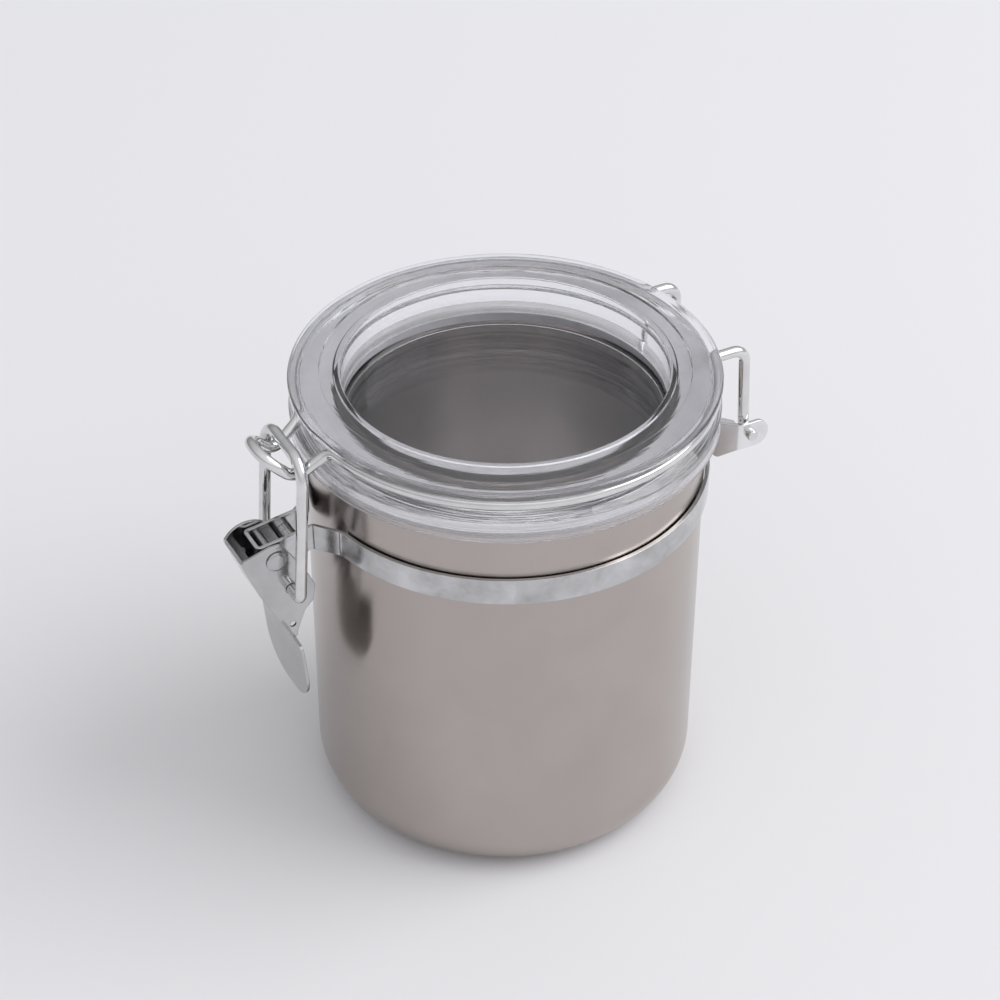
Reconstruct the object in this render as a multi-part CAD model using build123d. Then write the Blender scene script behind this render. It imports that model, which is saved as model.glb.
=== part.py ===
"""A clip-top canister: a drawn steel can and a clear moulded lid, hinged on the neck band
behind and clasped in front by a lever and a wire bail.
The origin is the centre of the flat base, +Z is up, the clasp faces -Y and the hinge +Y."""
from build123d import *
from math import asin, atan2, cos, hypot, pi, sin, sqrt
import os

# Can: a drawn cup with a rolled rim
can_radius = 55.0
can_height = 124.2
can_wall = 0.7
can_floor = 0.8
can_foot_round = 13.0
bead_radius = 1.0

# Wire and sheet stock, and the clearances that everything runs on
wire_radius = 1.6
running_fit = 0.08
side_gap = 0.3

# Lid: a clear moulding with a well, a plug, a wire groove and a skirt over the rim
lid_rise = 14.3
crown_fall = 0.8
crown_inset = 6.3
crown_round = 25.0
edge_round = 1.0
ring_depth = 2.5
groove_depth = 3.6
groove_slope = 2.7
groove_round = 0.8
flange_height = 6.0
skirt_overlap = 1.3
skirt_clearance = 0.7
skirt_wall = 1.8
plug_clearance = 7.5
well_draft = 0.2
well_round = 2.0
well_lip_fall = 0.2
well_lip_round = 0.7
plug_wall = 2.5
plug_depth = 3.8
lid_floor = 3.0
skirt_round = 0.6

# Gasket: a flat silicone ring over the rim, with a lip down round the plug
gasket_thickness = 1.2
gasket_lip = 1.3
gasket_lip_inset = 1.2
gasket_round = 0.3
gasket_gap = 0.2
gasket_side_gap = 0.1

# Clamp band: a strap round the neck, folded out in front into a box that carries the lever
band_thickness = 1.1
band_gap = 0.4
band_width = 7.8
band_drop = 15.2
ear_half_width = 4.9
ear_root_out = 5.7
ear_end_out = 22.0
ear_height = 7.1
ear_sink = 2.4
ear_ramp = 4.0
shoulder_half_width = 11.5
lap_half_width = 12.0
lap_slope = 1.4
lap_thickness = 1.85

# Lever pivot, with its rivet and the strut between the ears
pivot_out = 17.0
pivot_drop = 22.4
rivet_radius = 1.5
rivet_head_radius = 3.0
rivet_head_height = 0.85
head_round_share = 0.9
spacer_radius = 2.4
spacer_inset = 6.6
spacer_lift = 1.2

# Lever: two side plates joined by a web that ends below in a wide finger tab
lever_sheet = 0.9
lever_depth = 21.0
lever_height = 38.4
plate_round = 0.7
plate_shares = (
    (0.486, 0.065), (0.252, -0.271), (-0.210, -0.779), (-0.243, -0.669), (-0.352, -0.510),
    (-0.471, -0.443), (-0.514, -0.315), (-0.438, -0.211), (-0.081, 0.128), (0.071, 0.133))
crown_shares = (0.165, 0.170)
tab_rise = 3.9
tab_length = 22.2
tab_reach = 2.1
tab_half_width = 13.2
tab_tip_round = 10.5
tab_shoulder_round = 2.5

# Bail: the wire loop hung in the lever
bail_half_width = 12.0
bail_corner_round = 7.0
bail_foot_round = 2.2
bail_foot_end = 0.4
bail_hole_inset = 3.8
bail_hole_drop = 10.7
bar_before_dip = 0.4
bar_above_dip = 6.7

# Lid wire: a ring in the groove, a catch hook in front and two hinge legs behind
wire_seat_gap = 0.15
catch_run = 6.0
catch_shoulder = 9.0
catch_half_width = 6.9
catch_tip_half_width = 6.3
catch_dip_out = 10.8
catch_dip_drop = 6.55
catch_tip_out = 18.8
catch_tip_rise = 1.35
catch_shoulder_round = 4.0
catch_dip_round = 4.1
catch_tip_round = 6.1
hinge_run = 5.3
hinge_leg_half_width = 18.3
hinge_top_out = 9.8
hinge_leave_round = 3.5
hinge_top_round = 4.0
hinge_foot_round = 2.0
hinge_foot_end = 2.2

# Hinge bracket: a bent sheet on the band's lap with one ear for each leg of the wire
hinge_out = 11.2
hinge_drop = 16.7
bracket_sheet = 1.2
bracket_height = 11.4
bracket_top_above_hinge = 2.5
bracket_leg_gap = 0.6
bracket_flank_width = 4.5
bracket_ear_root_out = 8.8
bracket_ear_end_out = 17.4
bracket_ear_above = 3.2
bracket_ear_below = 5.0
bracket_foot_round = 1.5
gusset_reach = 4.0
gusset_width = 3.2
hem_depth = 1.3
hem_inset = 1.5

# Levels and radii worked out from the sizes above
rim_centre = can_height - bead_radius
bead_centre_radius = can_radius - can_wall + bead_radius
skirt_radius = bead_centre_radius + bead_radius + skirt_clearance
lid_radius = skirt_radius + skirt_wall
groove_radius = lid_radius - groove_depth
lid_top = can_height + lid_rise
lid_ceiling = can_height + gasket_gap + gasket_thickness
skirt_bottom = can_height - skirt_overlap
plug_bottom = can_height - plug_depth
plug_radius = can_radius - can_wall - plug_clearance
well_radius = plug_radius - plug_wall
groove_top = lid_top - ring_depth
ring_radius = groove_radius + wire_seat_gap + wire_radius
ring_height = groove_top - wire_seat_gap - wire_radius
band_radius = can_radius + band_gap + band_thickness
band_top = can_height - band_drop
band_bottom = band_top - band_width
ear_top = band_top - ear_sink
ear_bottom = ear_top - ear_height
ear_root = can_radius + ear_root_out
ear_end = can_radius + ear_end_out
plate_inside = ear_half_width + side_gap
plate_outside = plate_inside + lever_sheet
pivot = (can_radius + pivot_out, can_height - pivot_drop)
bail_hole = (pivot[0] - bail_hole_inset, pivot[1] - bail_hole_drop)
catch_dip = (can_radius + catch_dip_out, ring_height - catch_dip_drop)
catch_tip = (can_radius + catch_tip_out, ring_height + catch_tip_rise)
bail_bar = (catch_dip[0] - bar_before_dip, catch_dip[1] + bar_above_dip)
hinge = (can_radius + hinge_out, can_height - hinge_drop)
bracket_face = band_radius + lap_thickness + bracket_sheet
bracket_ear_inside = hinge_leg_half_width + wire_radius + bracket_leg_gap
bracket_half_width = bracket_ear_inside - bracket_flank_width
bracket_ear_root = can_radius + bracket_ear_root_out
bracket_ear_end = can_radius + bracket_ear_end_out

mm3_per_litre = 1e6

# Side views: reach from the can's axis and height, seen at the clasp and at the hinge
clasp_view = Plane(origin=(0, 0, 0), x_dir=(0, -1, 0), z_dir=(-1, 0, 0))
hinge_view = Plane.YZ


def rounded(corners):
    """A face whose corners are given as (across, up, rounding)."""
    places = [corner[:2] for corner in corners]
    return make_face(FilletPolyline(*places, radius=[corner[2] for corner in corners], close=True))


def turned(section):
    """A half-section of (radius, height) turned about the can's axis."""
    return revolve(Plane.XZ * section, Axis.Z)


def slab(section, view, half_width):
    """A side view stretched to both sides of the middle plane."""
    return extrude(view * section, half_width, both=True)


def cross_bore(view, place, radius, half_width):
    """A cylinder along X through a place given as (reach, height)."""
    return slab(Pos(*place) * Circle(radius), view, half_width)


def both_sides(shape):
    return shape + mirror(shape, about=Plane.YZ)


def mirrored_route(points):
    """The points of a wire's half, outermost first, and the same points on the other side."""
    return list(points) + [(-x, y, z) for x, y, z in reversed(points)]


def bent_wire(path):
    """Round wire of the common stock along a path."""
    start = Plane(origin=path @ 0, z_dir=path % 0)
    return sweep(start * Circle(wire_radius), path=path)


def can_shell():
    """The cup, with its rim rolled outwards to a round bead."""
    inner_radius = can_radius - can_wall
    bead_foot = rim_centre - sqrt(bead_radius**2 - (bead_centre_radius - can_radius) ** 2)
    inside = FilletPolyline(
        (0, can_floor), (inner_radius, can_floor), (inner_radius, rim_centre),
        radius=can_foot_round - can_wall)
    bead = ThreePointArc(
        (inner_radius, rim_centre),
        (bead_centre_radius + bead_radius, rim_centre),
        (can_radius, bead_foot))
    outside = FilletPolyline((can_radius, bead_foot), (can_radius, 0), (0, 0), radius=can_foot_round)
    axis_line = Line((0, 0), (0, can_floor))
    return turned(make_face(Wire([*inside.edges(), bead, *outside.edges(), axis_line])))


def lid():
    """The moulding: floor, plug, skirt, groove for the wire and crown."""
    crown_edge = lid_top - crown_fall
    flange_top = skirt_bottom + flange_height
    section = rounded([
        (0, plug_bottom, 0),
        (plug_radius, plug_bottom, edge_round),
        (plug_radius, lid_ceiling, 0),
        (skirt_radius, lid_ceiling, 0),
        (skirt_radius, skirt_bottom, skirt_round),
        (lid_radius, skirt_bottom, skirt_round),
        (lid_radius, flange_top, edge_round),
        (groove_radius, flange_top + groove_slope, groove_round),
        (groove_radius, groove_top, groove_round),
        (lid_radius, groove_top, skirt_round),
        (lid_radius, crown_edge, edge_round),
        (lid_radius - crown_inset, lid_top, crown_round),
        (well_radius + well_draft, lid_top - well_lip_fall, well_lip_round),
        (well_radius, plug_bottom + lid_floor, well_round),
        (0, plug_bottom + lid_floor, 0)])
    return turned(section)


def lid_gasket():
    """The flat ring under the lid's ceiling and its lip round the plug."""
    bore = plug_radius + side_gap
    underside = lid_ceiling - gasket_thickness
    lip_bottom = plug_bottom + gasket_lip_inset
    section = rounded([
        (bore, lip_bottom, gasket_round),
        (bore + gasket_lip, lip_bottom, gasket_round),
        (bore + gasket_lip, underside, 0),
        (skirt_radius - gasket_side_gap, underside, gasket_round),
        (skirt_radius - gasket_side_gap, lid_ceiling, gasket_round),
        (bore, lid_ceiling, gasket_round)])
    return turned(section)


def leave_angle(offset, run):
    """The angle from the middle plane at which a tangent of a given run comes to an offset."""
    return asin(offset / hypot(ring_radius, run)) + atan2(run, ring_radius)


def leave_points(towards, offset, run):
    """Where the wire leaves the ring, and where its tangent comes to an offset."""
    angle = leave_angle(offset, run)
    start = (ring_radius * sin(angle), towards * ring_radius * cos(angle), ring_height)
    return start, (offset, start[1] + towards * run * sin(angle), ring_height)


def lid_wire():
    """Ring, catch hook and hinge legs as one bent wire."""
    catch_start, catch_corner = leave_points(-1, catch_shoulder, catch_run)
    hinge_start, hinge_corner = leave_points(1, hinge_leg_half_width, hinge_run)
    foot_end = bracket_ear_inside + bracket_sheet + hinge_foot_end
    leg = FilletPolyline(
        (foot_end, *hinge),
        (hinge_leg_half_width, *hinge),
        (hinge_leg_half_width, can_radius + hinge_top_out, ring_height),
        hinge_corner,
        hinge_start,
        radius=[hinge_foot_round, hinge_top_round, hinge_leave_round])
    hook = FilletPolyline(
        mirrored_route([
            catch_start,
            catch_corner,
            (catch_half_width, -catch_dip[0], catch_dip[1]),
            (catch_tip_half_width, -catch_tip[0], catch_tip[1])]),
        radius=[catch_shoulder_round, catch_dip_round, catch_tip_round] * 2)
    arc = ThreePointArc(hinge_start, (ring_radius, 0, ring_height), catch_start)
    half = [*leg.edges(), arc]
    other_half = [edge.mirror(Plane.YZ) for edge in half]
    return bent_wire(Wire([*half, *hook.edges(), *other_half]))


def clamp_band():
    """The strap, its rear lap and the box of two ears and an end web in front."""
    neck = Polygon(
        (-ear_half_width, -ear_end), (ear_half_width, -ear_end), (ear_half_width, -ear_root),
        (shoulder_half_width, -can_radius), (-shoulder_half_width, -can_radius),
        (-ear_half_width, -ear_root), align=None)
    outer = Circle(band_radius) + neck
    strap = outer - offset(outer, amount=-band_thickness, kind=Kind.INTERSECTION)
    lap_face = band_radius + lap_thickness
    lap = Polygon(
        (-lap_half_width, can_radius), (lap_half_width, can_radius),
        (lap_half_width - lap_slope, lap_face), (lap_slope - lap_half_width, lap_face),
        align=None)
    plan = strap + (lap - Circle(band_radius - band_thickness / 2))
    side = rounded([
        (-ear_end, band_bottom, 0),
        (ear_root, band_bottom, 0),
        (ear_root + ear_ramp, ear_bottom, plate_round),
        (ear_end, ear_bottom, plate_round),
        (ear_end, ear_top, band_thickness),
        (ear_root + ear_ramp, ear_top, plate_round),
        (ear_root, band_top, 0),
        (-ear_end, band_top, 0)])
    blank = Pos(0, 0, ear_bottom) * extrude(plan, band_top - ear_bottom)
    band = blank & slab(side, clasp_view, 2 * can_radius)
    return band - cross_bore(clasp_view, pivot, rivet_radius + running_fit, 2 * ear_half_width)


def clasp_spacer():
    """The strut between the two ears, nearer the can than the rivet."""
    place = (pivot[0] - spacer_inset, pivot[1] + spacer_lift)
    return cross_bore(clasp_view, place, spacer_radius, ear_half_width - band_thickness)


def lever_rivet():
    """The pin through ears and lever, with a domed head on each side."""
    half_length = plate_outside + running_fit
    pin = cross_bore(clasp_view, pivot, rivet_radius, half_length + rivet_head_height / 2)
    disc = clasp_view.offset(half_length) * Pos(*pivot) * Circle(rivet_head_radius)
    head = extrude(disc, rivet_head_height)
    crown = head.faces().sort_by(Axis.X)[0]
    return pin + both_sides(fillet(crown.edges(), radius=rivet_head_height * head_round_share))


def lever_points(shares):
    """Places on the side plate as (reach, height)."""
    return [(pivot[0] + across * lever_depth, pivot[1] + up * lever_height) for across, up in shares]


def finger_tab(shoulder):
    """The flat leaf at the web's lower end, with square shoulders and a round tip."""
    tip = (shoulder[0] - tab_reach, shoulder[1] - tab_length)
    leaf = slab(
        Polygon(
            shoulder, tip, (tip[0] - lever_sheet, tip[1]), (shoulder[0] - lever_sheet, shoulder[1]),
            align=None),
        clasp_view, tab_half_width)
    front = rounded([
        (-tab_half_width, tip[1], tab_tip_round),
        (tab_half_width, tip[1], tab_tip_round),
        (tab_half_width, shoulder[1], tab_shoulder_round),
        (-tab_half_width, shoulder[1], tab_shoulder_round)])
    return leaf & extrude(Plane.XZ * front, ear_end + lever_depth)


def lever():
    """Side plates, one with an arched crown, the web between their front edges and the finger tab."""
    corners = lever_points(plate_shares)
    head, root, heel = corners[:3]
    rise = tab_rise / (root[1] - heel[1])
    shoulder = (heel[0] + rise * (root[0] - heel[0]), heel[1] + tab_rise)
    plate_face = rounded([(*corner, plate_round) for corner in corners])
    plate = extrude(clasp_view.offset(plate_inside) * plate_face, lever_sheet)
    arch = ThreePointArc(head, *lever_points([crown_shares]), corners[-2])
    crown_face = make_face(Wire([arch, Line(arch @ 1, arch @ 0)]))
    crown = extrude(clasp_view.offset(plate_inside) * crown_face, lever_sheet)
    front_line = [head, root, shoulder]
    back_line = [(reach - lever_sheet, height) for reach, height in reversed(front_line)]
    web = slab(Polygon(*front_line, *back_line, align=None), clasp_view, plate_inside + lever_sheet / 2)
    web &= slab(plate_face, clasp_view, plate_outside)
    body = both_sides(plate) + crown + web + finger_tab(shoulder)
    body -= cross_bore(clasp_view, pivot, rivet_radius + running_fit, 2 * plate_outside)
    return body - cross_bore(clasp_view, bail_hole, wire_radius + running_fit, 2 * plate_outside)


def bail():
    """The loop: a top bar, two legs and two feet turned into the lever's plates."""
    path = FilletPolyline(
        mirrored_route([
            (plate_inside - bail_foot_end, -bail_hole[0], bail_hole[1]),
            (bail_half_width, -bail_hole[0], bail_hole[1]),
            (bail_half_width, -bail_bar[0], bail_bar[1])]),
        radius=[bail_foot_round, bail_corner_round, bail_corner_round, bail_foot_round])
    return bent_wire(path)


def hinge_bracket():
    """A base plate on the band's lap, oblique flanks and an ear for each hinge leg."""
    tray = Polygon(
        (-bracket_ear_inside, bracket_ear_end), (-bracket_ear_inside, bracket_ear_root),
        (-bracket_half_width, bracket_face), (bracket_half_width, bracket_face),
        (bracket_ear_inside, bracket_ear_root), (bracket_ear_inside, bracket_ear_end), align=None)
    plan = offset(tray, amount=bracket_sheet, kind=Kind.INTERSECTION) - tray
    top = hinge[1] + bracket_top_above_hinge
    bottom = top - bracket_height
    ear_round = (bracket_ear_above + bracket_ear_below) / 2
    inside = bracket_face - bracket_sheet
    side = rounded([
        (inside, bottom, 0),
        (bracket_face, bottom, 0),
        (bracket_ear_root, hinge[1] - bracket_ear_below, bracket_foot_round),
        (bracket_ear_end, hinge[1] - bracket_ear_below, ear_round - side_gap),
        (bracket_ear_end, hinge[1] + bracket_ear_above, ear_round - side_gap),
        (bracket_ear_root, hinge[1] + bracket_ear_above, 0),
        (bracket_face, top, 0),
        (inside, top, 0)])
    blank = Pos(0, 0, bottom) * extrude(plan, bracket_height + bracket_ear_above)
    sheet = blank & slab(side, hinge_view, bracket_ear_inside + bracket_sheet)
    gusset = Polygon(
        (bracket_half_width, bracket_face - bracket_sheet / 2),
        (bracket_ear_inside, bracket_ear_root - bracket_sheet / 2),
        (bracket_ear_inside - gusset_width, bracket_face + gusset_reach),
        (bracket_half_width - gusset_reach, bracket_face - bracket_sheet / 2), align=None)
    gusset = Pos(0, 0, top - bracket_sheet) * extrude(gusset, bracket_sheet)
    hem = Pos(0, inside - hem_depth, bottom) * Box(
        2 * (bracket_half_width - hem_inset), hem_depth + bracket_sheet / 2, bracket_sheet,
        align=(Align.CENTER, Align.MIN, Align.MIN))
    bracket = sheet + both_sides(gusset) + hem
    return bracket - cross_bore(hinge_view, hinge, wire_radius + running_fit, 2 * bracket_ear_inside)


pieces = (
    can_shell, clamp_band, clasp_spacer, lever_rivet, hinge_bracket,
    lid, lid_gasket, lid_wire, lever, bail)

os.makedirs("parts", exist_ok=True)
for piece in pieces:
    shape = piece()
    box = shape.bounding_box()
    export_step(shape, f"parts/{piece.__name__}.step")
    print(f"{piece.__name__}: {len(shape.solids())} solid, {shape.volume:.0f} mm3, "
          f"y {box.min.Y:.1f} to {box.max.Y:.1f}, z {box.min.Z:.1f} to {box.max.Z:.1f}")
capacity = pi * (can_radius - can_wall) ** 2 * (plug_bottom - can_floor) / mm3_per_litre
print(f"capacity about {capacity:.2f} litres below the lid's plug")
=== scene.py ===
# %% [markdown]
# # A clip-top canister, dressed for the camera
# The imported model gives the construction: every piece at its real size, and the joints that move
# it. This script gives each piece its finish. It loads that model first.

# %% Load the imported model
import bmesh
import bpy
from math import asin, atan2, cos, hypot, pi, radians, sin, sqrt, tan
from mathutils import Matrix, Vector


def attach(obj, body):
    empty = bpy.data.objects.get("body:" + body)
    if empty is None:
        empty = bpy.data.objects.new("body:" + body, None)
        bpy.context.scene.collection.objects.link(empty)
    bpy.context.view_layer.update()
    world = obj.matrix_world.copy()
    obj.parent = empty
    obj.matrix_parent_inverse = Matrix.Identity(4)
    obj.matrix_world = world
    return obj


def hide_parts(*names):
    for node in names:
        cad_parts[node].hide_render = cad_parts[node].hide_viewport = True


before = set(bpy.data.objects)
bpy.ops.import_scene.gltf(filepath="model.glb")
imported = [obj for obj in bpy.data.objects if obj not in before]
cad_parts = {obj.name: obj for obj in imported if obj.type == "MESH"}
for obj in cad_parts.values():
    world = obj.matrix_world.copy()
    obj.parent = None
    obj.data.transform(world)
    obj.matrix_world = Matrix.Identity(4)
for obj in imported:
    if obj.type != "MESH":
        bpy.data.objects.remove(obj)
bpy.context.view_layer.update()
mm = 0.001
print("nodes:", sorted(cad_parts))

# %% [markdown]
# ## The camera
# The photograph looks down at the canister with a long lens, with the clasp to the left and the
# hinge to the right. A long lens keeps the can's walls nearly parallel. The camera is set first, so
# that every later step can be judged in the photograph's own view. Its direction is written as the
# way it looks, and a small roll levels the horizon as the photograph has it.

# %% Set the camera
camera_place = Vector((494.9, -267.1, 516.7)) * mm
camera_looks = Vector((-0.7036, 0.3776, -0.6020))
camera_roll = radians(0.21)
camera_lens = 90.5
camera_data = bpy.data.cameras.new("long_lens")
camera_data.lens = camera_lens
camera_data.sensor_width = 36.0
camera = bpy.data.objects.new("long_lens", camera_data)
bpy.context.scene.collection.objects.link(camera)
level = camera_looks.to_track_quat("-Z", "Y").to_matrix().to_4x4()
roll = Matrix.Rotation(camera_roll, 4, "Z")
camera.matrix_world = Matrix.Translation(camera_place) @ level @ roll
bpy.context.scene.camera = camera
print("camera", round(camera_place.length / mm), "mm from the base, lens", camera_lens)

# %% [markdown]
# ## The studio
# The canister stands in a light tent: a pale sheet under it, a broad soft lamp above and behind it
# to the right, and pale walls all round that are brighter overhead and to the right. One lamp and
# the world are enough. The pale background is the colour of the sheet and, past the sheet's edge,
# of the tent itself. The camera, the metal and the clear lid all see that same tent, so nothing in
# the background adds light to the object. The lamp is large and far away, which keeps the sheet
# evenly lit and its shadow soft.

# %% Lay the sheet and light it
sheet_tone = (0.80, 0.80, 0.82, 1.0)
sheet_half_width = 6.0
lamp_place = Vector((1.16, 2.20, 2.30))
lamp_size = 3.0
lamp_power = 56.0
lamp_aim = Vector((0, 0, 60 * mm))
world_tones = ((0.0, 0.66), (0.12, 0.60), (0.32, 0.64), (0.60, 0.92), (1.0, 0.98))
world_strength = 0.86
warmth = 0.98
bright_side = Vector((0.95, 0.15, 0.0))
side_share = 0.42


def studio_sheet():
    mesh = bpy.data.meshes.new("studio_sheet")
    w = sheet_half_width
    mesh.from_pydata([(-w, -w, 0), (w, -w, 0), (w, w, 0), (-w, w, 0)], [], [(0, 1, 2, 3)])
    sheet = bpy.data.objects.new("studio_sheet", mesh)
    bpy.context.scene.collection.objects.link(sheet)
    material = bpy.data.materials.new("pale_sheet")
    material.use_nodes = True
    shader = material.node_tree.nodes["Principled BSDF"]
    shader.inputs["Base Color"].default_value = sheet_tone
    shader.inputs["Roughness"].default_value = 0.75
    shader.inputs["Specular IOR Level"].default_value = 0.2
    mesh.materials.append(material)
    return sheet


def soft_lamp(name, place, size, power):
    lamp = bpy.data.lights.new(name, "AREA")
    lamp.shape = "DISK"
    lamp.size = size
    lamp.energy = power
    holder = bpy.data.objects.new(name, lamp)
    holder.location = place
    holder.rotation_mode = "QUATERNION"
    holder.rotation_quaternion = (lamp_aim - place).to_track_quat("-Z", "Y")
    holder.visible_transmission = False
    bpy.context.scene.collection.objects.link(holder)
    return holder


def tent_world():
    """A world that is brightest overhead and to the right, and the same for every ray."""
    world = bpy.data.worlds.new("light_tent")
    bpy.context.scene.world = world
    world.use_nodes = True
    nodes, links = world.node_tree.nodes, world.node_tree.links
    back = nodes["Background"]
    place = nodes.new("ShaderNodeTexCoord")
    split = nodes.new("ShaderNodeSeparateXYZ")
    links.new(place.outputs["Generated"], split.inputs[0])
    ramp = nodes.new("ShaderNodeValToRGB")
    for position, tone in world_tones[1:-1]:
        ramp.color_ramp.elements.new(position)
    for element, (position, tone) in zip(ramp.color_ramp.elements, world_tones):
        element.position = position
        element.color = (tone * warmth, tone * warmth, tone, 1.0)
    links.new(split.outputs["Z"], ramp.inputs[0])
    links.new(ramp.outputs["Color"], back.inputs["Color"])
    aside = nodes.new("ShaderNodeVectorMath")
    aside.operation = "DOT_PRODUCT"
    links.new(place.outputs["Generated"], aside.inputs[0])
    aside.inputs[1].default_value = bright_side
    level = nodes.new("ShaderNodeMath")
    level.operation = "MULTIPLY_ADD"
    links.new(aside.outputs["Value"], level.inputs[0])
    level.inputs[1].default_value = side_share * world_strength
    level.inputs[2].default_value = world_strength
    links.new(level.outputs[0], back.inputs["Strength"])
    return world


studio_sheet()
soft_lamp("overhead_softbox", lamp_place, lamp_size, lamp_power)
tent_world()
bpy.context.scene.view_settings.view_transform = "Standard"
print("studio: sheet, one softbox of", lamp_power, "W, world at", world_strength)

# %% [markdown]
# ## Helpers for meshes
# Three ways of making cover the whole canister. Turned pieces, such as the can and the lid, are an
# outline carried round an axis. Wires are a round section carried along a route. Sheet pieces are
# flat outlines with thickness. All of them start from corners with a rounding at each, as a drawing
# gives them, so one helper turns corners into points first.

# %% Turn rounded corners into points
arc_step = radians(7.5)


def rounded_route(corners, closed=False):
    """Points through corners given as (Vector, rounding); rounding 0 keeps a corner sharp."""
    count = len(corners)
    points = []
    for i, (corner, rounding) in enumerate(corners):
        if rounding == 0 or (not closed and i in (0, count - 1)):
            points.append(corner)
            continue
        before = (corners[i - 1][0] - corner).normalized()
        after = (corners[(i + 1) % count][0] - corner).normalized()
        turn = pi - before.angle(after)
        inset = rounding * tan(turn / 2)
        start = corner + before * inset
        centre = corner + (before + after).normalized() * (rounding / cos(turn / 2))
        arm = start - centre
        across = (arm.cross(before)).normalized().cross(arm) * -1
        steps = max(2, round(turn / arc_step))
        for k in range(steps + 1):
            angle = turn * k / steps
            points.append(centre + arm * cos(angle) + across.normalized() * arm.length * sin(angle))
    return points


def flat(corners):
    """Corners of an outline given as (across, up, rounding), in mm, as vectors."""
    return [(Vector((x, y, 0)), rounding) for x, y, rounding in corners]


test_square = rounded_route(flat([(0, 0, 1), (10, 0, 1), (10, 10, 1), (0, 10, 1)]), closed=True)
print("a rounded square takes", len(test_square), "points")

# %% [markdown]
# A mesh made here is smooth all over, with its creases left to real small roundings. That is what
# a bench part looks like: no edge is perfectly sharp, and each catches a thin line of light.

# %% Make a mesh object, a turned piece and a wire


def piece_of(name, points, faces, material, body, node=None):
    """An object from points in mm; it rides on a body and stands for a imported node."""
    mesh = bpy.data.meshes.new(name)
    mesh.from_pydata([Vector(p) * mm for p in points], [], faces)
    mesh.validate()
    for polygon in mesh.polygons:
        polygon.use_smooth = True
    mesh.materials.append(material)
    piece = bpy.data.objects.new(name, mesh)
    bpy.context.scene.collection.objects.link(piece)
    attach(piece, body)
    if node:
        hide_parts(node)
    return piece


def turned(outline, turns=288):
    """Points and faces of a closed half-section of (radius, height) carried round Z."""
    rows = [(p.x, p.y) for p in outline]
    points = []
    faces = []
    for r, z in rows:
        for k in range(turns):
            a = 2 * pi * k / turns
            points.append((r * cos(a), r * sin(a), z))
    count = len(rows)
    for i in range(count):
        j = (i + 1) % count
        if rows[i][0] == 0 and rows[j][0] == 0:
            continue
        for k in range(turns):
            n = (k + 1) % turns
            faces.append((i * turns + k, i * turns + n, j * turns + n, j * turns + k))
    return points, faces


def tube(route, radius, sides=32, end_round=0.5):
    """Points and faces of round wire along a route, its two ends closed and slightly rounded."""
    frames = []
    along = (route[1] - route[0]).normalized()
    side = along.orthogonal().normalized()
    for i, point in enumerate(route):
        ahead = route[min(i + 1, len(route) - 1)] - route[max(i - 1, 0)]
        turn = along.rotation_difference(ahead)
        side = turn @ side
        along = ahead.normalized()
        frames.append((point, side, along.cross(side), radius))
    first, last = frames[0], frames[-1]
    out_first = (route[0] - route[1]).normalized()
    out_last = (route[-1] - route[-2]).normalized()
    start = [(first[0] + out_first * (end_round * (sin(b) - 1)), first[1], first[2],
              radius - end_round * (1 - cos(b))) for b in (pi / 2, pi / 3, pi / 6)]
    finish = [(last[0] + out_last * (end_round * (sin(b) - 1)), last[1], last[2],
               radius - end_round * (1 - cos(b))) for b in (pi / 6, pi / 3, pi / 2)]
    rings = start + [(first[0] - out_first * end_round, *first[1:])] + frames[1:-1]
    rings += [(last[0] - out_last * end_round, *last[1:])] + finish
    points, faces = [], []
    for centre, u, v, r in rings:
        points += [centre + (u * cos(2 * pi * k / sides) + v * sin(2 * pi * k / sides)) * r
                   for k in range(sides)]
    for i in range(len(rings) - 1):
        for k in range(sides):
            n = (k + 1) % sides
            faces.append((i * sides + k, i * sides + n, (i + 1) * sides + n, (i + 1) * sides + k))
    faces.append(tuple(reversed(range(sides))))
    faces.append(tuple(range((len(rings) - 1) * sides, len(rings) * sides)))
    return points, faces


print("helpers ready: turned pieces and wires")

# %% [markdown]
# ## Helpers for bent sheet
# A strap, a lever or a bracket is one strip of sheet whose width changes along its way. A loft of
# rounded rectangles does this: each station has a place, a direction across the strip and one
# through its thickness, and half of each size.

# %% Loft a strip, and cut a flat plate
sheet_edge = 0.16


def strip(stations, closed=False):
    """Points and faces of a loft through (centre, across, through, half_width, half_thickness)."""
    points, faces = [], []
    for centre, across, through, half_width, half_thickness in stations:
        e = min(sheet_edge, half_width * 0.9, half_thickness * 0.9)
        w, t = half_width - e, half_thickness - e
        for sx, sy, first in ((1, 1, 0), (-1, 1, 90), (-1, -1, 180), (1, -1, 270)):
            for bend in (0, 30, 60, 90):
                a = radians(first + bend)
                points.append(centre + across * (sx * w + e * cos(a))
                              + through * (sy * t + e * sin(a)))
    ring = 16
    count = len(stations)
    for i in range(count if closed else count - 1):
        j = (i + 1) % count
        for k in range(ring):
            n = (k + 1) % ring
            faces.append((i * ring + k, i * ring + n, j * ring + n, j * ring + k))
    if not closed:
        faces.append(tuple(reversed(range(ring))))
        faces.append(tuple(range((count - 1) * ring, count * ring)))
    return points, faces


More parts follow.
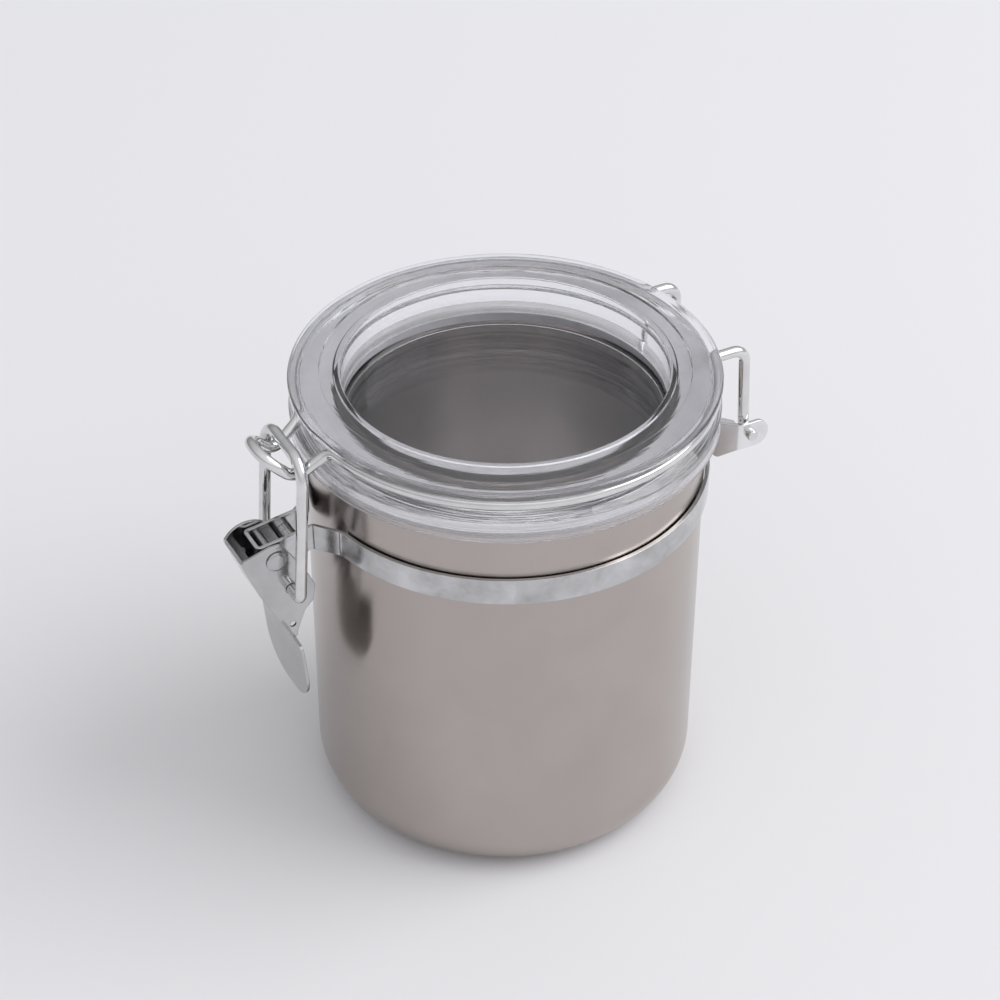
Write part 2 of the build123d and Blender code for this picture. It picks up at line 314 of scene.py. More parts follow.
def plate(outline, holes, thickness, place, across, up, edge=sheet_edge):
    """Points and faces of a flat plate with softened edges; a hole is given as (x, y, radius)."""
    rings = [outline] + [[Vector((x + r * cos(a), y + r * sin(a), 0))
                          for a in (2 * pi * k / 40 for k in range(40))] for x, y, r in holes]
    curve = bpy.data.curves.new("plate_outline", "CURVE")
    curve.dimensions = "2D"
    curve.fill_mode = "BOTH"
    curve.extrude = thickness / 2 - edge
    curve.bevel_depth = edge
    curve.bevel_resolution = 2
    curve.offset = -edge
    for ring in rings:
        spline = curve.splines.new("POLY")
        spline.points.add(len(ring) - 1)
        for point, corner in zip(spline.points, ring):
            point.co = (corner.x, corner.y, 0, 1)
        spline.use_cyclic_u = True
    holder = bpy.data.objects.new("plate_outline", curve)
    solid = bpy.data.meshes.new_from_object(holder)
    through = across.cross(up)
    points = [place + across * v.co.x + up * v.co.y + through * (v.co.z + thickness / 2)
              for v in solid.vertices]
    faces = [tuple(face.vertices) for face in solid.polygons]
    bpy.data.objects.remove(holder)
    bpy.data.curves.remove(curve)
    return points, faces


def joined(*parts):
    """Several lists of points and faces as one."""
    points, faces = [], []
    for more_points, more_faces in parts:
        start = len(points)
        points += list(more_points)
        faces += [tuple(start + v for v in face) for face in more_faces]
    return points, faces


def mirrored(part):
    """The same points and faces on the other side of the middle plane."""
    points, faces = part
    return [Vector((-p[0], p[1], p[2])) for p in points], [tuple(reversed(face)) for face in faces]


print("helpers ready: strips and plates")

# %% [markdown]
# ## Finishes
# The can is drawn steel with a satin grain that runs round it. Its inside and its floor take a
# paler copy of the same steel, which is painted light: it stands in for the light that comes in
# through the clear lid. The strap, lever and bracket are rolled sheet with cloudy reflections, each
# in its own tone, and the wires are polished. The lid is clear acrylic, smooth in its floor and
# faintly rippled round its thick rim. The ring under it is milky silicone. The grain and the
# cloudiness are used more than once, so each is a node group with named inputs that every material
# sets for itself.

# %% Build the shared node groups


def new_group(name, inputs, outputs):
    group = bpy.data.node_groups.new(name, "ShaderNodeTree")
    for label, value in inputs:
        socket = group.interface.new_socket(label, in_out="INPUT", socket_type="NodeSocketFloat")
        socket.default_value = value
    for label in outputs:
        group.interface.new_socket(label, in_out="OUTPUT", socket_type="NodeSocketFloat")
    return group, group.nodes.new("NodeGroupInput"), group.nodes.new("NodeGroupOutput")


def math_node(tree, kind, first, second=None):
    """A Math node whose two inputs are sockets or numbers; its result comes back."""
    node = tree.nodes.new("ShaderNodeMath")
    node.operation = kind
    for socket, value in zip(node.inputs, (first, second)):
        if isinstance(value, (int, float)):
            socket.default_value = value
        elif value is not None:
            tree.links.new(value, socket)
    return node.outputs[0]


def grain_group():
    """Fine lines that run round the can's axis, as height, and as a share of shade."""
    group, given, made = new_group(
        "grain_round_the_can", [("Lines per mm", 3.0), ("Streak length", 6.0)], ["Height", "Shade"])
    place = group.nodes.new("ShaderNodeTexCoord")
    split = group.nodes.new("ShaderNodeSeparateXYZ")
    group.links.new(place.outputs["Object"], split.inputs[0])
    x, y, z = split.outputs
    reach = math_node(group, "SQRT", math_node(
        group, "ADD", math_node(group, "MULTIPLY", x, x), math_node(group, "MULTIPLY", y, y)))
    safe = math_node(group, "MAXIMUM", reach, 0.0005)
    turns = given.outputs["Streak length"]
    lines = math_node(group, "MULTIPLY", given.outputs["Lines per mm"], 1000.0)
    along = math_node(group, "MULTIPLY", math_node(group, "ADD", z, reach), lines)
    join = group.nodes.new("ShaderNodeCombineXYZ")
    for i, side in enumerate((x, y)):
        share = math_node(group, "DIVIDE", side, safe)
        group.links.new(math_node(group, "MULTIPLY", share, turns), join.inputs[i])
    group.links.new(along, join.inputs[2])
    noise = group.nodes.new("ShaderNodeTexNoise")
    noise.inputs["Scale"].default_value = 1.0
    noise.inputs["Detail"].default_value = 3.0
    noise.inputs["Roughness"].default_value = 0.65
    group.links.new(join.outputs[0], noise.inputs["Vector"])
    group.links.new(noise.outputs[0], made.inputs["Height"])
    group.links.new(math_node(group, "SUBTRACT", noise.outputs[0], 0.5), made.inputs["Shade"])
    return group


def cloud_group():
    """Soft patches, as left by rolling, wiping and handling, from 0 to 1."""
    group, given, made = new_group(
        "cloudy_patches", [("Patch size mm", 8.0), ("Contrast", 1.0)], ["Mask"])
    place = group.nodes.new("ShaderNodeTexCoord")
    noise = group.nodes.new("ShaderNodeTexNoise")
    noise.inputs["Detail"].default_value = 4.0
    noise.inputs["Roughness"].default_value = 0.6
    noise.inputs["Distortion"].default_value = 0.4
    group.links.new(place.outputs["Object"], noise.inputs["Vector"])
    scale = math_node(group, "DIVIDE", 1000.0, given.outputs["Patch size mm"])
    group.links.new(scale, noise.inputs["Scale"])
    centred = math_node(group, "MULTIPLY", math_node(group, "SUBTRACT", noise.outputs[0], 0.5),
                        math_node(group, "MULTIPLY", given.outputs["Contrast"], 2.5))
    mask = group.nodes.new("ShaderNodeClamp")
    group.links.new(math_node(group, "ADD", centred, 0.5), mask.inputs[0])
    group.links.new(mask.outputs[0], made.inputs["Mask"])
    return group


grain_round_the_can = grain_group()
cloudy_patches = cloud_group()
print("node groups:", [g.name for g in bpy.data.node_groups])

# %% Build the finishes


def new_finish(name):
    material = bpy.data.materials.new(name)
    material.use_nodes = True
    tree = material.node_tree
    return material, tree, tree.nodes["Principled BSDF"]


def placed_group(tree, group, **values):
    """A node group placed in a material with its own values; underscores stand for spaces."""
    node = tree.nodes.new("ShaderNodeGroup")
    node.node_tree = group
    for label, value in values.items():
        node.inputs[label.replace("_", " ")].default_value = value
    return node


def toned(tree, mask, low, high):
    """A colour that goes from low to high with a mask."""
    mix = tree.nodes.new("ShaderNodeMix")
    mix.data_type = "RGBA"
    tree.links.new(mask, mix.inputs["Factor"])
    mix.inputs["A"].default_value = (*low, 1.0)
    mix.inputs["B"].default_value = (*high, 1.0)
    return mix.outputs["Result"]


def bumped(tree, shader, height, depth_mm, distance_mm=0.05):
    bump = tree.nodes.new("ShaderNodeBump")
    bump.inputs["Strength"].default_value = depth_mm
    bump.inputs["Distance"].default_value = distance_mm * mm
    tree.links.new(height, bump.inputs["Height"])
    tree.links.new(bump.outputs[0], shader.inputs["Normal"])


def satin_steel(name, low, high, roughness, depth):
    """Drawn steel: lines round the can, a slight cloudiness, reflections drawn out up and down."""
    material, tree, shader = new_finish(name)
    grain = placed_group(tree, grain_round_the_can, Lines_per_mm=1.2, Streak_length=4.0)
    clouds = placed_group(tree, cloudy_patches, Patch_size_mm=26.0, Contrast=0.8)
    tree.links.new(toned(tree, clouds.outputs["Mask"], low, high), shader.inputs["Base Color"])
    dulled = math_node(tree, "MULTIPLY", clouds.outputs["Mask"], 0.05)
    rough = math_node(tree, "ADD", math_node(tree, "MULTIPLY", grain.outputs["Shade"], 0.05),
                      math_node(tree, "ADD", dulled, roughness))
    tree.links.new(rough, shader.inputs["Roughness"])
    shader.inputs["Metallic"].default_value = 1.0
    shader.inputs["Anisotropic"].default_value = 0.7
    shader.inputs["Anisotropic Rotation"].default_value = 0.25
    bumped(tree, shader, grain.outputs["Height"], depth)
    return material


def bright_steel(name, low, high, roughness, patch_mm, depth):
    """Rolled or drawn bright steel with cloudy reflections."""
    material, tree, shader = new_finish(name)
    clouds = placed_group(tree, cloudy_patches, Patch_size_mm=patch_mm, Contrast=1.0)
    fine = placed_group(tree, cloudy_patches, Patch_size_mm=patch_mm / 6, Contrast=1.0)
    tree.links.new(toned(tree, clouds.outputs["Mask"], low, high), shader.inputs["Base Color"])
    dulled = math_node(tree, "MULTIPLY", fine.outputs["Mask"], 0.08)
    tree.links.new(math_node(tree, "ADD", dulled, roughness), shader.inputs["Roughness"])
    shader.inputs["Metallic"].default_value = 1.0
    bumped(tree, shader, clouds.outputs["Mask"], depth)
    return material


def let_light_through(tree, shader, tint):
    """Shadow rays pass a clear piece with a slight tint; bent light isn't traced to the lamps."""
    passing = tree.nodes.new("ShaderNodeBsdfTransparent")
    passing.inputs["Color"].default_value = (*tint, 1.0)
    rays = tree.nodes.new("ShaderNodeLightPath")
    mix = tree.nodes.new("ShaderNodeMixShader")
    tree.links.new(rays.outputs["Is Shadow Ray"], mix.inputs[0])
    tree.links.new(shader.outputs[0], mix.inputs[1])
    tree.links.new(passing.outputs[0], mix.inputs[2])
    tree.links.new(mix.outputs[0], tree.nodes["Material Output"].inputs["Surface"])


def clear_acrylic(name, clearness, ripple):
    """Clear moulding; its ripples run round the axis, as a turned mould leaves them."""
    material, tree, shader = new_finish(name)
    clouds = placed_group(tree, cloudy_patches, Patch_size_mm=14.0, Contrast=0.7)
    tree.links.new(toned(tree, clouds.outputs["Mask"], (0.955, 0.955, 0.985), (0.975, 0.97, 0.99)),
                   shader.inputs["Base Color"])
    rough = math_node(tree, "MULTIPLY", clouds.outputs["Mask"], 0.02)
    tree.links.new(rough, shader.inputs["Roughness"])
    shader.inputs["Transmission Weight"].default_value = clearness
    if ripple:
        rings = placed_group(tree, grain_round_the_can, Lines_per_mm=0.4, Streak_length=0.5)
        bumped(tree, shader, rings.outputs["Height"], ripple, 0.6)
    shader.inputs["IOR"].default_value = 1.49
    let_light_through(tree, shader, (0.98, 0.98, 0.99))
    return material


def milky_silicone(name):
    material, tree, shader = new_finish(name)
    clouds = placed_group(tree, cloudy_patches, Patch_size_mm=5.0, Contrast=0.6)
    tree.links.new(toned(tree, clouds.outputs["Mask"], (0.36, 0.36, 0.37), (0.47, 0.47, 0.48)),
                   shader.inputs["Base Color"])
    shader.inputs["Roughness"].default_value = 0.35
    return material


can_steel = satin_steel(
    "satin_drawn_steel", (0.44, 0.396, 0.371), (0.48, 0.432, 0.405), 0.18, 0.008)
# A paler copy of the can's steel for its inside: painted light, for the light that reaches the
# inside through the lid.
inner_steel_painted_bright = satin_steel(
    "satin_steel_inside_painted_bright", (0.62, 0.59, 0.575), (0.74, 0.71, 0.695), 0.19, 0.008)
strap_steel = bright_steel(
    "rolled_strap_steel", (0.42, 0.42, 0.42), (0.64, 0.64, 0.65), 0.13, 9.0, 0.30)
lever_steel = bright_steel(
    "bright_lever_steel", (0.47, 0.47, 0.475), (0.58, 0.58, 0.585), 0.12, 12.0, 0.12)
bracket_steel = bright_steel(
    "bright_bracket_steel", (0.72, 0.72, 0.73), (0.84, 0.84, 0.85), 0.14, 6.0, 0.15)
wire_steel = bright_steel(
    "polished_wire_steel", (0.66, 0.66, 0.66), (0.76, 0.76, 0.76), 0.05, 6.0, 0.06)
lid_acrylic = clear_acrylic("clear_acrylic", 1.0, 0.0)
rim_acrylic = clear_acrylic("thick_clear_acrylic", 0.96, 0.35)
gasket_silicone = milky_silicone("milky_silicone")
print("finishes:", [m.name for m in bpy.data.materials])

# %% [markdown]
# ## The can
# The real can is drawn from one disc: a thin wall, a wide round foot, and a rim rolled outwards so
# that it isn't sharp. A turned outline gives all three. The fine steps round the foot and the bead
# matter, because a satin metal shows every facet.

# %% Turn the can
can_radius = 55.0
can_height = 124.2
can_wall = 0.7
can_floor = 0.8
foot_round = 13.0
bead_radius = 1.0
bead_centre = Vector((can_radius - can_wall + bead_radius, can_height - bead_radius, 0))


def arc_points(centre, radius, first, last, step):
    count = max(2, round(abs(last - first) / step))
    return [centre + Vector((cos(a), sin(a), 0)) * radius
            for a in (radians(first + (last - first) * k / count) for k in range(count + 1))]


def can_outline():
    inner = can_radius - can_wall
    outside = rounded_route(flat([
        (0, 0, 0), (can_radius, 0, foot_round), (can_radius, bead_centre.y - bead_radius, 0)]))
    bead = arc_points(bead_centre, bead_radius, -100, 180, 20)
    inside = rounded_route(flat([
        (inner, bead_centre.y - 2 * bead_radius, 0), (inner, can_floor, foot_round - can_wall),
        (0, can_floor, 0)]))
    return outside + bead + inside


def settle(piece, crease=40):
    """Merge doubled points, mark real creases and let the large faces set the shading."""
    work = bmesh.new()
    work.from_mesh(piece.data)
    bmesh.ops.remove_doubles(work, verts=work.verts, dist=0.0005 * mm)
    work.to_mesh(piece.data)
    work.free()
    piece.data.set_sharp_from_angle(angle=radians(crease))
    shading = piece.modifiers.new("even_shading", "WEIGHTED_NORMAL")
    shading.keep_sharp = True
    return piece


can_piece = settle(piece_of(
    "drawn_can", *turned(can_outline()), can_steel, "canister", "can_shell"))
# The inside faces below the bead and the floor take the paler copy of the steel, which paints light
# into the can.
can_piece.data.materials.append(inner_steel_painted_bright)
for face in can_piece.data.polygons:
    faces_inward = face.normal.xy.dot(face.center.xy) < -1e-6
    below_the_bead = face.center.z < (bead_centre.y - 0.5) * mm
    on_the_floor = face.normal.z > 0.5 and face.center.z < 5 * mm
    face.material_index = int(faces_inward and below_the_bead or on_the_floor)
print("can:", len(can_piece.data.vertices), "vertices")

# %% [markdown]
# ## The lid
# The lid is one clear moulding. Its section is a floor and a plug that dips into the can, a thick
# rim with a shallow recess in its crown, a skirt over the can's bead and a groove for the wire. In
# clear plastic every one of these surfaces shows as a bright or dark ring, so the section is drawn
# in full and not only its outside.

# %% Turn the lid
skirt_radius = bead_centre.x + bead_radius + 0.7
lid_radius = skirt_radius + 1.8
groove_radius = lid_radius - 3.6
plug_clearance, plug_wall, plug_depth = 7.5, 2.5, 3.8
plug_radius = can_radius - can_wall - plug_clearance
well_radius = plug_radius - plug_wall
lid_top = can_height + 14.3
lid_ceiling = can_height + 1.4
skirt_bottom = can_height - 1.3
plug_bottom = can_height - plug_depth
groove_top = lid_top - 2.5
crown_edge = lid_top - 0.8
well_floor = plug_bottom + 3.0
flange_top = skirt_bottom + 6.0

lid_section = rounded_route(flat([
    (0, plug_bottom, 0), (plug_radius, plug_bottom, 1.0), (plug_radius, lid_ceiling, 0.2),
    (skirt_radius, lid_ceiling, 0.2),
    (skirt_radius, skirt_bottom, 0.6), (lid_radius, skirt_bottom, 0.6),
    (lid_radius, flange_top, 1.0), (groove_radius, flange_top + 2.7, 0.8),
    (groove_radius, groove_top, 0.8), (lid_radius, groove_top, 0.6),
    (lid_radius, crown_edge, 1.0), (lid_radius - 6.3, lid_top, 25.0),
    (well_radius + 6.1, lid_top - 0.06, 0.2), (well_radius + 5.7, lid_top - 0.5, 0.2),
    (well_radius + 2.2, lid_top - 0.5, 0.3), (well_radius + 1.8, lid_top - 0.2, 0.2),
    (well_radius + 0.2, lid_top - 0.2, 0.7),
    (well_radius, well_floor, 2.0), (0, well_floor, 0)]))
clear_lid = settle(
    piece_of("clear_lid", *turned(lid_section), lid_acrylic, "lid", "lid"), crease=50)
clear_lid.data.materials.append(rim_acrylic)
for face in clear_lid.data.polygons:
    reach, height = face.center.xy.length / mm, face.center.z / mm
    face.material_index = int(reach > plug_radius + 0.5 and height > plug_bottom + 1.5)
print("lid section:", len(lid_section), "points, well", round(2 * well_radius, 1), "mm across")

# %% [markdown]
# The seal is a flat ring of silicone over the can's rim, with a lip that hangs down round the plug.
# Seen through the thick clear rim it is a milky band, and that band is what makes the rim look pale
# although the can below it is dark.

# %% Turn the seal
seal_bore = plug_radius + 0.3
seal_underside = lid_ceiling - 1.2
seal_section = rounded_route(flat([
    (seal_bore, plug_bottom + 1.2, 0.3), (seal_bore + 1.3, plug_bottom + 1.2, 0.3),
    (seal_bore + 1.3, seal_underside, 0), (skirt_radius - 0.1, seal_underside, 0.3),
    (skirt_radius - 0.1, lid_ceiling, 0.3), (seal_bore, lid_ceiling, 0.3)]), closed=True)
seal_ring = settle(piece_of(
    "seal_ring", *turned(seal_section), gasket_silicone, "lid", "lid_gasket"))
print("seal:", len(seal_ring.data.vertices), "vertices")

# %% [markdown]
# ## The wires
# One wire runs round the lid in its groove. In front it leaves the ring and comes forward as the
# catch hook, whose dip holds the bail. Behind it leaves as two legs that turn down to the hinge. A
# second, shorter wire is the bail. Both are bent from the same round stock.

# %% Bend the lid wire
wire_radius = 1.6
ring_radius = groove_radius + 0.15 + wire_radius
ring_height = groove_top - 0.15 - wire_radius
hinge = Vector((0, can_radius + 11.2, can_height - 16.7))
foot_reach = 23.9
leg_offset = 18.3
catch_offset = 9.0


def leave_points(towards, offset, run):
    """Where the wire leaves the ring, where it next turns, and the angle at which it leaves."""
    angle = asin(offset / hypot(ring_radius, run)) + atan2(run, ring_radius)
    start = Vector((ring_radius * sin(angle), towards * ring_radius * cos(angle), ring_height))
    return start, Vector((offset, start.y + towards * run * sin(angle), ring_height)), angle


catch_start, catch_corner, catch_angle = leave_points(-1, catch_offset, 6.0)
hinge_start, hinge_corner, hinge_angle = leave_points(1, leg_offset, 5.3)


def other_side(points):
    return [Vector((-p.x, p.y, p.z)) for p in reversed(points)]


def both_sides(corners):
    """Corners on one side followed by the same corners on the other."""
    return corners + [(Vector((-c.x, c.y, c.z)), r) for c, r in reversed(corners)]


def lid_wire_route():
    leg = rounded_route([
        (Vector((foot_reach, hinge.y, hinge.z)), 0), (Vector((leg_offset, hinge.y, hinge.z)), 2.0),
        (Vector((leg_offset, can_radius + 9.8, ring_height)), 4.0), (hinge_corner, 3.5),
        (hinge_start, 0)])
    turns = 84
    first, last = pi / 2 - hinge_angle, catch_angle - pi / 2
    arc = [Vector((cos(a), sin(a), 0)) * ring_radius + Vector((0, 0, ring_height))
           for a in (first + (last - first) * k / turns for k in range(1, turns))]
    dip = Vector((6.9, -can_radius - 10.8, ring_height - 6.55))
    tip = Vector((6.3, -can_radius - 18.8, ring_height + 1.35))
    corners = [(catch_start, 0), (catch_corner, 4.0), (dip, 4.1), (tip, 6.1)]
    hook = rounded_route(both_sides(corners))
    return leg + arc + hook + other_side(leg + arc)


lid_wire = piece_of(
    "lid_wire_bent", *tube(lid_wire_route(), wire_radius), wire_steel, "lid", "lid_wire")
print("lid wire:", len(lid_wire.data.vertices), "vertices")

# %% [markdown]
# The bail is a plain loop whose two feet turn inwards into the lever's holes, and whose bar lies in
# the dip of the hook.

# %% Bend the bail
bail_hole = Vector((0, -can_radius - 13.2, can_height - 33.1))
bail_bar = Vector((0, -can_radius - 10.4, ring_height + 0.15))
bail_half, bail_foot = 12.0, 4.8
bail_corners = [
    (Vector((bail_foot, bail_hole.y, bail_hole.z)), 0),
    (Vector((bail_half, bail_hole.y, bail_hole.z)), 2.2),
    (Vector((bail_half, bail_bar.y, bail_bar.z)), 7.0)]
bail_route = rounded_route(both_sides(bail_corners))
bail_wire = piece_of("bail_bent", *tube(bail_route, wire_radius), wire_steel, "bail", "bail")
print("bail:", len(bail_wire.data.vertices), "vertices")

# %% [markdown]
# ## The strap
# The strap is one strip of sheet round the can's neck. In front it folds out into a narrow box,
# open above and below, whose two sides are the ears that carry the lever. Behind, a lap of folded
# sheet holds the hinge bracket. The strip is lofted along its route in plan; its height changes
# where the box begins.

# %% Fold the strap
strap_thickness = 1.1
strap_top, strap_bottom = can_height - 15.2, can_height - 23.0
ear_top, ear_bottom = strap_top - 2.4, strap_top - 9.5
ear_root, ear_end, ear_half = can_radius + 5.7, can_radius + 22.0, 4.9
box_foot, box_turn = 11.2, 13.4
strap_middle = can_radius + 0.4 + strap_thickness / 2


def share_of(value, low, high):
    return min(1.0, max(0.0, (value - low) / (high - low)))


def strap_route():
    """Plan of the strap's middle line, counterclockwise seen from above."""
    half = strap_thickness / 2
    corners = [(ear_half - half, -ear_end + half, 1.2), (ear_half - half, -ear_root, 3.0),
               (box_foot, -can_radius, 4.0)]
    first = atan2(-sqrt(strap_middle**2 - box_turn**2), box_turn)
    arc = [(strap_middle * cos(a), strap_middle * sin(a), 0)
           for a in (first + (2 * pi - 2 * (first + pi / 2)) * k / 180 for k in range(181))]
    corners += arc + [(-x, y, r) for x, y, r in reversed(corners)]
    return rounded_route(flat(corners), closed=True)


def strap_stations():
    route = strap_route()
    count = len(route)
    stations = []
    for i, point in enumerate(route):
        ahead = (route[(i + 1) % count] - route[i - 1]).normalized()
        outward = Vector((ahead.y, -ahead.x, 0))
        share = share_of(-point.y, ear_root, ear_root + 4.0)
        share = share * share * (3 - 2 * share)
        top = strap_top + (ear_top - strap_top) * share
        bottom = strap_bottom + (ear_bottom - strap_bottom) * share
        centre = Vector((point.x, point.y, (top + bottom) / 2))
        stations.append((centre, Vector((0, 0, 1)), outward,
                         (top - bottom) / 2, strap_thickness / 2))
    return stations


def lap():
    """The folded lap behind, wider against the strap than against the bracket."""
    outline = rounded_route(flat([
        (-12.0, can_radius + 0.6, 0), (12.0, can_radius + 0.6, 0), (10.6, can_radius + 3.35, 0.4),
        (-10.6, can_radius + 3.35, 0.4)]), closed=True)
    return plate(outline, [], strap_top - strap_bottom, Vector((0, 0, strap_bottom)),
                 Vector((1, 0, 0)), Vector((0, 1, 0)))


neck_strap = settle(piece_of("neck_strap", *joined(strip(strap_stations(), closed=True), lap()),
                             strap_steel, "canister", "clamp_band"))
print("strap:", len(neck_strap.data.vertices), "vertices")

# %% [markdown]
# A round strut keeps the two ears apart, and a rivet with low domed heads passes through ears and
# lever. Both are turned pieces laid on their side.

# %% Turn the strut and the rivet
pivot = Vector((0, -can_radius - 17.0, can_height - 22.4))
plate_inside, lever_sheet = 5.2, 0.9
plate_outside = plate_inside + lever_sheet


def laid_across(part, place):
    """A turned piece with its axis along X through a place."""
    points, faces = part
    return [Vector((p[2], p[1], -p[0])) + place for p in points], faces


def rivet_section():
    head = plate_outside + 0.08
    side = [(1.5, head, 0), (3.0, head, 0.15), (3.0, head + 0.4, 0.25),
            (2.1, head + 0.85, 0.9), (0, head + 0.85, 0)]
    return rounded_route(flat([(x, -y, r) for x, y, r in reversed(side)] + side))


strut = turned(rounded_route(flat([
    (0, -3.8, 0), (2.4, -3.8, 0.3), (2.4, 3.8, 0.3), (0, 3.8, 0)])), turns=64)
rivet = turned(rivet_section(), turns=64)
strut_place = pivot + Vector((0, 6.6, 1.2))
strut_piece = settle(piece_of(
    "ear_strut", *laid_across(strut, strut_place), lever_steel, "canister", "clasp_spacer"))
rivet_piece = settle(piece_of(
    "lever_rivet_turned", *laid_across(rivet, pivot), lever_steel, "canister", "lever_rivet"))
for piece in (strut_piece, rivet_piece):
    print(piece.name, len(piece.data.vertices), "vertices")

# %% [markdown]
# ## The lever
# The lever is one blank of sheet, folded twice. Its two side plates hang on the rivet and hold the
# bail's feet, and each has a small punched hole near the tab. Between them the sheet runs over the
# top and on down as a flat leaf with a round tip, for a finger. The far plate is the same as the
# near one but for its top, which rises in an arch.

# %% Fold the lever
lever_depth, lever_height = 21.0, 38.4
plate_shares = (
    (0.486, 0.065), (0.252, -0.271), (-0.210, -0.779), (-0.243, -0.669), (-0.352, -0.510),
    (-0.471, -0.443), (-0.514, -0.315), (-0.438, -0.211), (-0.081, 0.128), (0.071, 0.133))


def seen_from_the_side(reach, height):
    """A place on the middle plane in front, from its distance to the can's axis and its height."""
    return Vector((0, -reach, height))


def on_the_plate(shares):
    return [(-pivot.y + a * lever_depth, pivot.z + b * lever_height) for a, b in shares]


def arc_through(first, middle, last, steps=16):
    """Points on the circle through three places, from the first to the last."""
    (ax, ay), (bx, by), (cx, cy) = ((p.x, p.y) for p in (first, middle, last))
    d = 2 * (ax * (by - cy) + bx * (cy - ay) + cx * (ay - by))
    a2, b2, c2 = ax * ax + ay * ay, bx * bx + by * by, cx * cx + cy * cy
    centre = Vector(((a2 * (by - cy) + b2 * (cy - ay) + c2 * (ay - by)) / d,
                     (a2 * (cx - bx) + b2 * (ax - cx) + c2 * (bx - ax)) / d, 0))
    arm, sweep = first - centre, (first - centre).xy.angle_signed((last - centre).xy)
    return [centre + Matrix.Rotation(-sweep * k / steps, 3, "Z") @ arm for k in range(steps + 1)]


plate_corners = on_the_plate(plate_shares)
plate_outline = rounded_route(flat([(r, h, 0.9) for r, h in reversed(plate_corners)]), closed=True)
low_end, high_end, top = (Vector((r, h, 0)) for r, h in
                          (plate_corners[0], plate_corners[-2], on_the_plate([(0.165, 0.170)])[0]))
arch = arc_through(low_end, top, high_end)
far_rest = rounded_route(flat([(r, h, 0.9) for r, h in reversed(plate_corners[1:-2])]))
far_corners = [(low_end, 1.2)] + [(point, 0) for point in arch[3:] + far_rest]
far_outline = rounded_route(far_corners, closed=True)
leaf_drop, leaf_lean = 22.2, 2.1
leaf_reach = plate_outside - 0.05


def lever_leaf():
    """Stations of the web and the finger tab, from the top edge to the tip."""
    head, root, heel = (Vector((r, h, 0)) for r, h in plate_corners[:3])
    shoulder = heel + (root - heel) * (3.9 / (root.y - heel.y))
    tip = shoulder + Vector((-leaf_lean, -leaf_drop, 0))
    line = [(head + (root - head) * (0.07 + 0.93 * k / 6), leaf_reach) for k in range(7)]
    line += [(root + (shoulder - root) * k / 8, leaf_reach) for k in range(1, 9)]
    steps = 56
    for k in range(steps + 1):
        drop = (tip - shoulder).length * (k + 0.5) / (steps + 0.5)
        line.append((shoulder + (tip - shoulder).normalized() * drop, tab_half(drop)))
    stations = []
    for i, (place, half) in enumerate(line):
        ahead = (line[min(i + 1, len(line) - 1)][0] - line[max(i - 1, 0)][0]).normalized()
        inward = Vector((ahead.y, -ahead.x, 0))
        centre = place + inward * (lever_sheet / 2)
        stations.append((seen_from_the_side(centre.x, centre.y), Vector((1, 0, 0)),
                         Vector((0, -inward.x, inward.y)), half, lever_sheet / 2))
    return stations


def tab_half(drop):
    """Half the tab's width at a drop below its square shoulders; its tip is round."""
    half, shoulder_round, tip_round, length = 13.2, 2.5, 10.5, hypot(leaf_drop, leaf_lean)
    if drop < shoulder_round:
        rise = shoulder_round**2 - (shoulder_round - drop) ** 2
        return half - shoulder_round + sqrt(max(0.02, rise))
    if drop > length - tip_round:
        return half - tip_round + sqrt(max(0.0, tip_round**2 - (drop - length + tip_round) ** 2))
    return half


lever_holes = [(-pivot.y, pivot.z, 1.58), (-bail_hole.y, bail_hole.z, wire_radius + 0.08),
               (68.3, 78.6, 0.9)]
outward, upward, plate_place = Vector((0, -1, 0)), Vector((0, 0, 1)), Vector((-plate_inside, 0, 0))
far_plate = plate(far_outline, lever_holes, lever_sheet, plate_place, outward, upward)
near_plate = mirrored(plate(plate_outline, lever_holes, lever_sheet, plate_place, outward, upward))
lever_piece = settle(piece_of("folded_lever", *joined(far_plate, near_plate, strip(lever_leaf())),
                              lever_steel, "lever", "lever"))
print("lever:", len(lever_piece.data.vertices), "vertices")

# %% [markdown]
# ## The hinge bracket
# Behind, a tray of sheet with two ears takes the legs of the lid wire. Its base lies on the strap's
# lap, its flanks spread to the ears, and a hem curls round the strap's lower edge.

# %% Fold the bracket
bracket_sheet = 1.2
bracket_face = strap_middle + strap_thickness / 2 + 1.85 + bracket_sheet
bracket_top = hinge.z + 2.5
bracket_bottom = bracket_top - 11.4
ear_inside = leg_offset + wire_radius + 0.6
base_half = ear_inside - 4.5
ear_start, ear_stop = can_radius + 8.8, can_radius + 17.4
ear_low, ear_high = hinge.z - 5.0, hinge.z + 3.2
station_step = 0.35


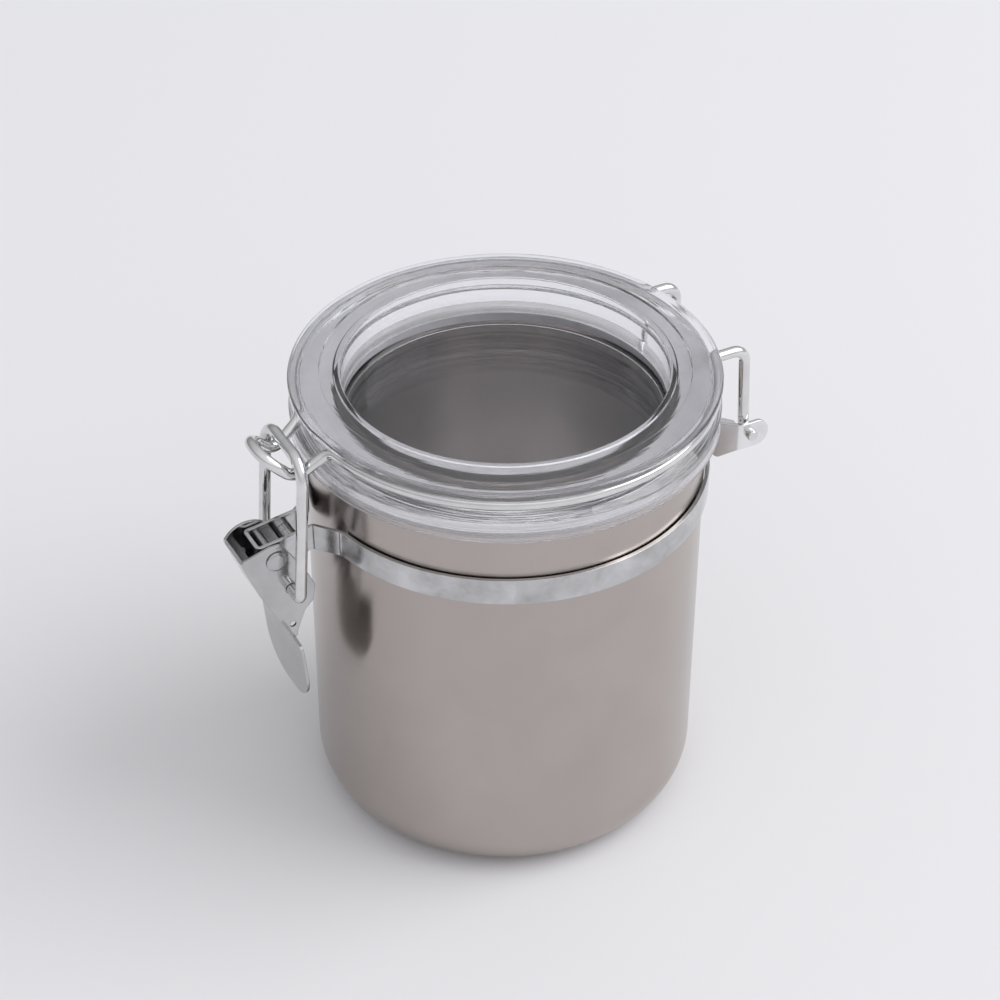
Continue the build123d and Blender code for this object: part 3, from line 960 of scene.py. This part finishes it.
def bracket_levels(reach):
    """Bottom and top of the sheet at a distance from the can's axis."""
    share = share_of(reach, bracket_face, ear_start)
    low = bracket_bottom + (ear_low - bracket_bottom) * share
    high = bracket_top + (ear_high - bracket_top) * share
    ease = 3.8
    beyond = max(0.0, reach - (ear_stop - ease))
    if beyond > 0:
        drawn = ease - sqrt(max(0.0, ease**2 - beyond**2))
        low, high = low + drawn, high - drawn
    return low, max(high, low + 0.4)


def bracket_stations():
    half = bracket_sheet / 2
    corners = [(ear_inside + half, ear_stop - 0.05, 0), (ear_inside + half, ear_start, 1.6),
               (base_half + 0.25, bracket_face - half, 1.6)]
    route = rounded_route(flat(corners + [(-x, y, r) for x, y, r in reversed(corners)]))
    fine = []
    for first, second in zip(route, route[1:]):
        steps = max(1, round((second - first).length / station_step))
        fine += [first + (second - first) * k / steps for k in range(steps)]
    fine.append(route[-1])
    stations = []
    for i, point in enumerate(fine):
        ahead = (fine[min(i + 1, len(fine) - 1)] - fine[max(i - 1, 0)]).normalized()
        low, high = bracket_levels(point.y)
        stations.append((Vector((point.x, point.y, (low + high) / 2)), Vector((0, 0, 1)),
                         Vector((ahead.y, -ahead.x, 0)), (high - low) / 2, half))
    return stations


def bracket_gusset():
    outline = flat([(base_half, bracket_face - 0.6, 0), (ear_inside, ear_start - 0.6, 0),
                    (ear_inside - 3.2, bracket_face + 4.0, 0),
                    (base_half - 4.0, bracket_face - 0.6, 0)])
    return plate([corner for corner, _ in outline], [], bracket_sheet,
                 Vector((0, 0, bracket_top - bracket_sheet)), Vector((1, 0, 0)), Vector((0, 1, 0)))


def bracket_hem():
    half = base_half - 1.5
    outline = flat([(-half, bracket_face - 2.5, 0), (half, bracket_face - 2.5, 0),
                    (half, bracket_face - 0.6, 0), (-half, bracket_face - 0.6, 0)])
    return plate([corner for corner, _ in outline], [], bracket_sheet,
                 Vector((0, 0, bracket_bottom)), Vector((1, 0, 0)), Vector((0, 1, 0)), edge=0.4)


bracket = settle(piece_of(
    "folded_bracket",
    *joined(strip(bracket_stations()), bracket_gusset(), mirrored(bracket_gusset()), bracket_hem()),
    bracket_steel, "canister", "hinge_bracket"))
print("bracket:", len(bracket.data.vertices), "vertices")
